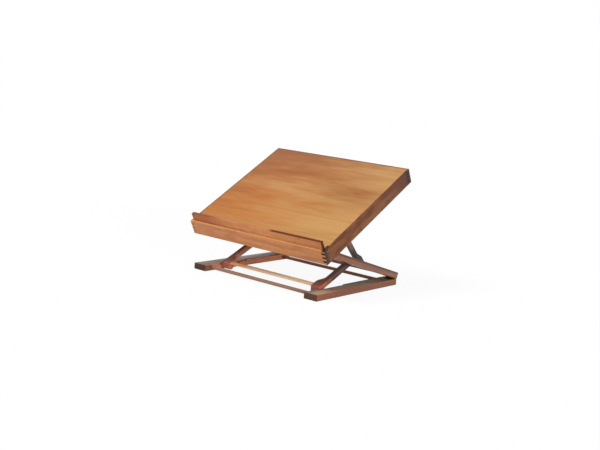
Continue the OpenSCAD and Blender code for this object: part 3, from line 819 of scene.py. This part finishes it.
class LECTERN_OT_middle_frame(bpy.types.Operator):
    """Finish the middle frame's rails and bars"""

    bl_idname = "lectern.middle_frame"
    bl_label = "Middle frame"

    def execute(self, context):
        tones = context.scene.lectern_wood
        board = {"end": DARK_END, "slope": MIDDLE_SLOPE}
        for place, seed in (("front", 23.0), ("rear", 24.0)):
            bar = wood(
                f"middle_{place}_wood", seed=seed, light=solid(tones.rear_light),
                dark=solid(tones.rear_dark), along_y=False, **board
            )
            craft(f"middle_{place}_bar", "middle_frame", bar)
        _, upper = heights("middle_rail_right", MIDDLE_SLOPE)

        def upper_edge(along, sideways, up):
            band = up.rise(upper - 8 * MM, upper - 5 * MM)
            return band * up.rise(upper - 0.3 * MM, upper - 0.8 * MM) * 0.6

        right = wood(
            "middle_right_wood", seed=22.0, light=solid(tones.middle_light),
            dark=solid(tones.middle_dark), along_y=True, darkening=upper_edge, **board
        )
        craft("middle_rail_right", "middle_frame", right)
        # The same lighter copy of the wood as the left base rail: painted light
        left = wood(
            "middle_left_wood", seed=21.0, light=solid(tones.left_light),
            dark=solid(tones.left_dark), along_y=True, **board
        )
        craft("middle_rail_left", "middle_frame", left)
        return {"FINISHED"}


class LECTERN_OT_front_strut(bpy.types.Operator):
    """Make the front strut's arms, its slat and its pegs"""

    bl_idname = "lectern.front_strut"
    bl_label = "Front strut"

    def execute(self, context):
        tones = context.scene.lectern_wood
        arm = {"end": solid(tones.strut_end), "slope": STRUT_SLOPE, "along_y": True}
        outer = -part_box("strut_arm_left")[0].x
        _, upper = heights("strut_arm_left", STRUT_SLOPE)
        front, _ = reach("strut_arm_left", STRUT_SLOPE)

        def outer_edge(along, sideways, up):
            near = sideways.rise(outer - 9 * MM, outer - 6 * MM)
            return near * up.rise(upper - 2 * MM, upper - 1 * MM) * 0.8

        # A lighter copy of the arm's wood, painted light; the upper faces take a darker tone,
        # painted shade
        left = wood(
            "arm_left_wood", seed=31.0, light=solid(tones.left_arm_light),
            dark=solid(tones.left_arm_dark), top=solid(tones.left_arm_top_shade), top_share=0.5,
            accent=solid(tones.left_arm_dark), drift=(front + 60 * MM, front + 35 * MM),
            darkening=outer_edge, **arm
        )
        craft("strut_arm_left", "front_strut", left)
        # The upper faces take a lighter tone: painted light
        right = wood(
            "arm_right_wood", seed=32.0, light=solid(tones.right_arm_light),
            dark=solid(tones.right_arm_dark), top=solid(tones.right_arm_top_lit), top_share=0.7,
            accent=solid(tones.right_arm_foot), drift=(front + 60 * MM, front + 30 * MM), **arm
        )
        craft("strut_arm_right", "front_strut", right)
        cross = {"end": END_GRAIN, "slope": STRUT_SLOPE, "along_y": False}
        slat = wood(
            "slat_wood", seed=33.0, light=solid(tones.slat_light), dark=solid(tones.slat_dark),
            accent=solid(tones.slat_orange), drift=(-0.06, -0.14), **cross
        )
        craft("strut_slat", "front_strut", slat)
        pegs = wood(
            "peg_wood", seed=34.0, light=solid(tones.bar_light), dark=solid(tones.bar_dark), **cross
        )
        craft("strut_pegs", "front_strut", pegs)
        return {"FINISHED"}


class LECTERN_OT_rear_prop(bpy.types.Operator):
    """Make the rear prop's arms, cross bar and rod"""

    bl_idname = "lectern.rear_prop"
    bl_label = "Rear prop"

    def execute(self, context):
        tones = context.scene.lectern_wood
        tinted = {"light": solid(tones.prop_light), "dark": solid(tones.prop_dark)}
        board = {"end": DARK_END, "slope": PROP_SLOPE}
        for hand, seed in (("left", 41.0), ("right", 42.0)):
            # Painted shade: each arm turns near-black along part of its length
            arm = wood(
                f"prop_{hand}_wood", seed=seed, accent=NEAR_BLACK, drift=(-0.07, -0.02), along_y=True,
                **tinted, **board
            )
            craft(f"prop_arm_{hand}", "rear_prop", arm)
        cross_bar = wood("prop_bar_wood", seed=43.0, along_y=False, **tinted, **board)
        craft("prop_cross_bar", "rear_prop", cross_bar)
        rod = wood(
            "prop_rod_wood", seed=44.0, light=solid(tones.bar_light), dark=solid(tones.bar_dark),
            along_y=False, **board
        )
        craft("prop_rod", "rear_prop", rod, ROD_EDGE)
        return {"FINISHED"}


class LECTERN_OT_hardware(bpy.types.Operator):
    """Finish the hinges, pins, bolts and washers"""

    bl_idname = "lectern.hardware"
    bl_label = "Hinges and pivots"

    def execute(self, context):
        brass = metal("hinge_brass", BRASS)
        steel = metal("pivot_steel", STEEL)
        for node in (
            "hinge_base_leaves", "hinge_middle_leaves", "hinge_base_screws", "hinge_middle_screws",
        ):
            clothe(frame["nodes"][node], brass)
        for node in (
            "hinge_pins", "strut_spacers", "desk_pivot_pins", "desk_spacers", "prop_spacers",
        ):
            clothe(frame["nodes"][node], steel)
        strut_bolts = frame["nodes"]["strut_pivot_bolts"].data.vertices
        for node, body, joint, face in (
            (
                "strut_pivot_bolts", "middle_frame", "front_strut_swing",
                min(abs(vertex.co.x) for vertex in strut_bolts),
            ),
            ("prop_pivot_bolts", "desk", "prop_swing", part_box("prop_pivot_bolts")[1].x),
        ):
            pivot = joint_place(joint)
            slots = [((side * face, pivot.y, pivot.z), BOLT_SLOT) for side in (-1, 1)]
            craft(node, body, steel, BOLT_EDGE, slots)
        return {"FINISHED"}


class LECTERN_PT_panel(bpy.types.Panel):
    """Lists the lectern's parts in the sidebar"""

    bl_idname = "LECTERN_PT_panel"
    bl_label = "Tabletop lectern"
    bl_space_type = "VIEW_3D"
    bl_region_type = "UI"
    bl_category = "Lectern"

    def draw(self, context):
        layout = self.layout
        scene = context.scene
        for operator in STEPS:
            layout.operator(operator.bl_idname)
        for group in (scene.lectern_view, scene.lectern_light, scene.lectern_wood):
            box = layout.box()
            for name in group.bl_rna.properties.keys():
                if name not in ("rna_type", "name"):
                    box.prop(group, name)


GROUPS = (
    ("lectern_view", LecternView),
    ("lectern_light", LecternLight),
    ("lectern_wood", LecternWood),
)

STEPS = (
    LECTERN_OT_camera,
    LECTERN_OT_stage,
    LECTERN_OT_desk,
    LECTERN_OT_base_frame,
    LECTERN_OT_middle_frame,
    LECTERN_OT_front_strut,
    LECTERN_OT_rear_prop,
    LECTERN_OT_hardware,
)


def register():
    for name, group in GROUPS:
        bpy.utils.register_class(group)
        setattr(bpy.types.Scene, name, bpy.props.PointerProperty(type=group))
    for step in STEPS:
        bpy.utils.register_class(step)
    bpy.utils.register_class(LECTERN_PT_panel)


def unregister():
    bpy.utils.unregister_class(LECTERN_PT_panel)
    for step in reversed(STEPS):
        bpy.utils.unregister_class(step)
    for name, group in reversed(GROUPS):
        delattr(bpy.types.Scene, name)
        bpy.utils.unregister_class(group)


def main():
    register()
    for step in STEPS:
        group, name = step.bl_idname.split(".")
        getattr(getattr(bpy.ops, group), name)()


if __name__ == "__main__":
    main()
